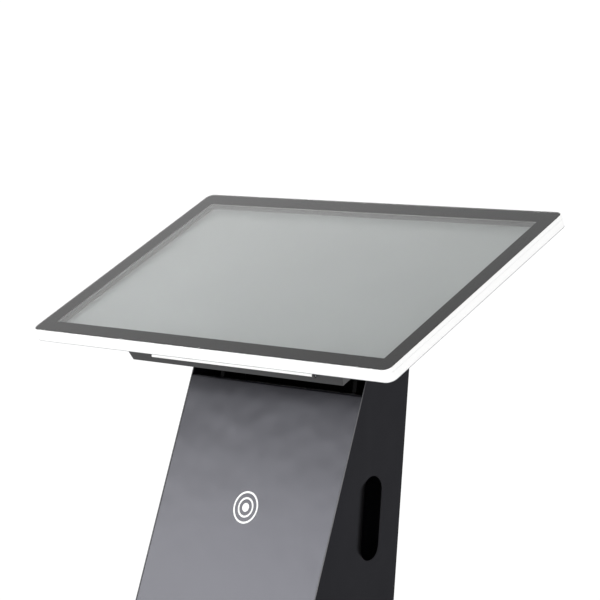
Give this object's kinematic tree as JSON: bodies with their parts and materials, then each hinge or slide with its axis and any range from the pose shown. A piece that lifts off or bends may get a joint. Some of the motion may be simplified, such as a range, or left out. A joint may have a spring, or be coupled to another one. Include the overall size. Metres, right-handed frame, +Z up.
{
  "type": "touchscreen kiosk",
  "caption": "Free-standing touchscreen kiosk: a wide glass-fronted display tilts on a leaning sheet-steel pedestal with a lockable rear door, grip slots and levelling feet.",
  "frame": {"origin": "on the floor, under the middle of the whole kiosk's box", "axes": "+Z up, the visitor stands at -Y and looks along +Y, +X to the visitor's right; the display is at its 32 degree tilt"},
  "size_m": [0.7608, 0.4604, 1.05],
  "materials": {
    "glass": "clear tempered cover glass, polished",
    "black_ink": "black screen print behind the glass",
    "lcd_surface": "switched-off LCD with a matt anti-glare polariser",
    "lcd_metal": "plain folded steel, satin",
    "grey_plastic": "moulded, fine texture",
    "white_paint": "white powder coat, satin",
    "white_plastic": "white moulded plastic, satin",
    "dark_cover": "dark grey fine-texture powder coat",
    "graphite_paint": "graphite-black satin powder coat",
    "black_steel": "black painted steel",
    "zinc_steel": "bright zinc-plated steel",
    "chrome": "polished chrome",
    "bronze": "sintered bronze bush",
    "aluminium": "perforated aluminium case",
    "black_plastic": "black moulded plastic",
    "circuit_board": "green solder mask",
    "rubber": "black rubber"
  },
  "bodies": {
    "pedestal": {"side_panel_left": "graphite_paint", "side_panel_right": "graphite_paint", "front_panel": "graphite_paint", "rear_post_left": "black_steel", "rear_post_right": "black_steel", "back_panel_upper": "graphite_paint", "back_panel_lower": "graphite_paint", "hinge_post_leaf_lower": "black_steel", "hinge_post_leaf_upper": "black_steel", "hinge_pin_lower": "zinc_steel", "hinge_pin_upper": "zinc_steel", "pivot_beam": "black_steel", "pivot_ear_left": "black_steel", "pivot_ear_right": "black_steel", "pivot_bush_left": "bronze", "pivot_bush_right": "bronze", "equipment_shelf": "graphite_paint", "media_player": "black_plastic", "power_supply": "aluminium", "power_inlet": "black_plastic", "base_plate": "graphite_paint"},
    "display": {"cover_glass": "glass", "border_mask": "black_ink", "lcd_panel": "lcd_surface", "lcd_bezel": "lcd_metal", "backlight_tray": "grey_plastic", "front_frame": "white_paint", "rear_shell": "white_paint", "electronics_cover": "dark_cover", "cable_grommet": "rubber", "flap_hinge_pin": "zinc_steel", "usb_port_a": "zinc_steel", "usb_port_b": "zinc_steel", "hdmi_port": "zinc_steel", "controller_board": "circuit_board", "speaker_left": "black_plastic", "speaker_right": "black_plastic", "tilt_plate": "black_steel", "tilt_arm_left": "black_steel", "tilt_arm_right": "black_steel", "tilt_shaft": "zinc_steel"},
    "flap": {"port_flap": "white_plastic"},
    "power_button": {"power_button": "grey_plastic"},
    "volume_down_button": {"volume_down_button": "grey_plastic"},
    "volume_up_button": {"volume_up_button": "grey_plastic"},
    "door": {"service_door": "graphite_paint", "hinge_door_leaf_lower": "black_steel", "hinge_door_leaf_upper": "black_steel", "lock_barrel": "chrome"},
    "lock": {"lock_plug": "chrome", "lock_cam": "zinc_steel"},
    "rocker": {"power_rocker": "black_plastic"},
    "foot_front_left": {"foot_pad_front_left": "rubber", "foot_stud_front_left": "zinc_steel"},
    "foot_front_right": {"foot_pad_front_right": "rubber", "foot_stud_front_right": "zinc_steel"},
    "foot_back_left": {"foot_pad_back_left": "rubber", "foot_stud_back_left": "zinc_steel"},
    "foot_back_right": {"foot_pad_back_right": "rubber", "foot_stud_back_right": "zinc_steel"}
  },
  "joints": [
    {"name": "display_tilt", "type": "hinge", "parent": "pedestal", "child": "display", "pos_m": [0, 0.06182, 0.815], "axis": [1, 0, 0], "range_deg": [-20, 25]},
    {"name": "flap_hinge", "type": "hinge", "parent": "display", "child": "flap", "pos_m": [0, -0.09071, 0.78427], "axis": [1, 0, 0], "range_deg": [0, 100]},
    {"name": "door_hinge", "type": "hinge", "parent": "pedestal", "child": "door", "pos_m": [-0.1616, 0.11852, 0.36], "axis": [0, 0, 1], "range_deg": [0, 110]},
    {"name": "lock_turn", "type": "hinge", "parent": "door", "child": "lock", "pos_m": [0.14, 0.11432, 0.36], "axis": [0, -1, 0], "range_deg": [0, 90]},
    {"name": "rocker_throw", "type": "hinge", "parent": "pedestal", "child": "rocker", "pos_m": [-0.051, 0.11082, 0.054], "axis": [1, 0, 0], "range_deg": [-20, 0]},
    {"name": "power_button_press", "type": "slide", "parent": "display", "child": "power_button", "axis": [0, 0.848, 0.5299], "range_m": [0, 0.0015], "stiffness_N_per_m": 400, "springref_m": -0.001},
    {"name": "volume_down_button_press", "type": "slide", "parent": "display", "child": "volume_down_button", "axis": [0, 0.848, 0.5299], "range_m": [0, 0.0015], "stiffness_N_per_m": 400, "springref_m": -0.001},
    {"name": "volume_up_button_press", "type": "slide", "parent": "display", "child": "volume_up_button", "axis": [0, 0.848, 0.5299], "range_m": [0, 0.0015], "stiffness_N_per_m": 400, "springref_m": -0.001},
    {"name": "foot_front_left_screw", "type": "slide", "parent": "pedestal", "child": "foot_front_left", "axis": [0, 0, -1], "range_m": [0, 0.01]},
    {"name": "foot_front_right_screw", "type": "slide", "parent": "pedestal", "child": "foot_front_right", "axis": [0, 0, -1], "range_m": [0, 0.01]},
    {"name": "foot_back_left_screw", "type": "slide", "parent": "pedestal", "child": "foot_back_left", "axis": [0, 0, -1], "range_m": [0, 0.01]},
    {"name": "foot_back_right_screw", "type": "slide", "parent": "pedestal", "child": "foot_back_right", "axis": [0, 0, -1], "range_m": [0, 0.01]}
  ]
}
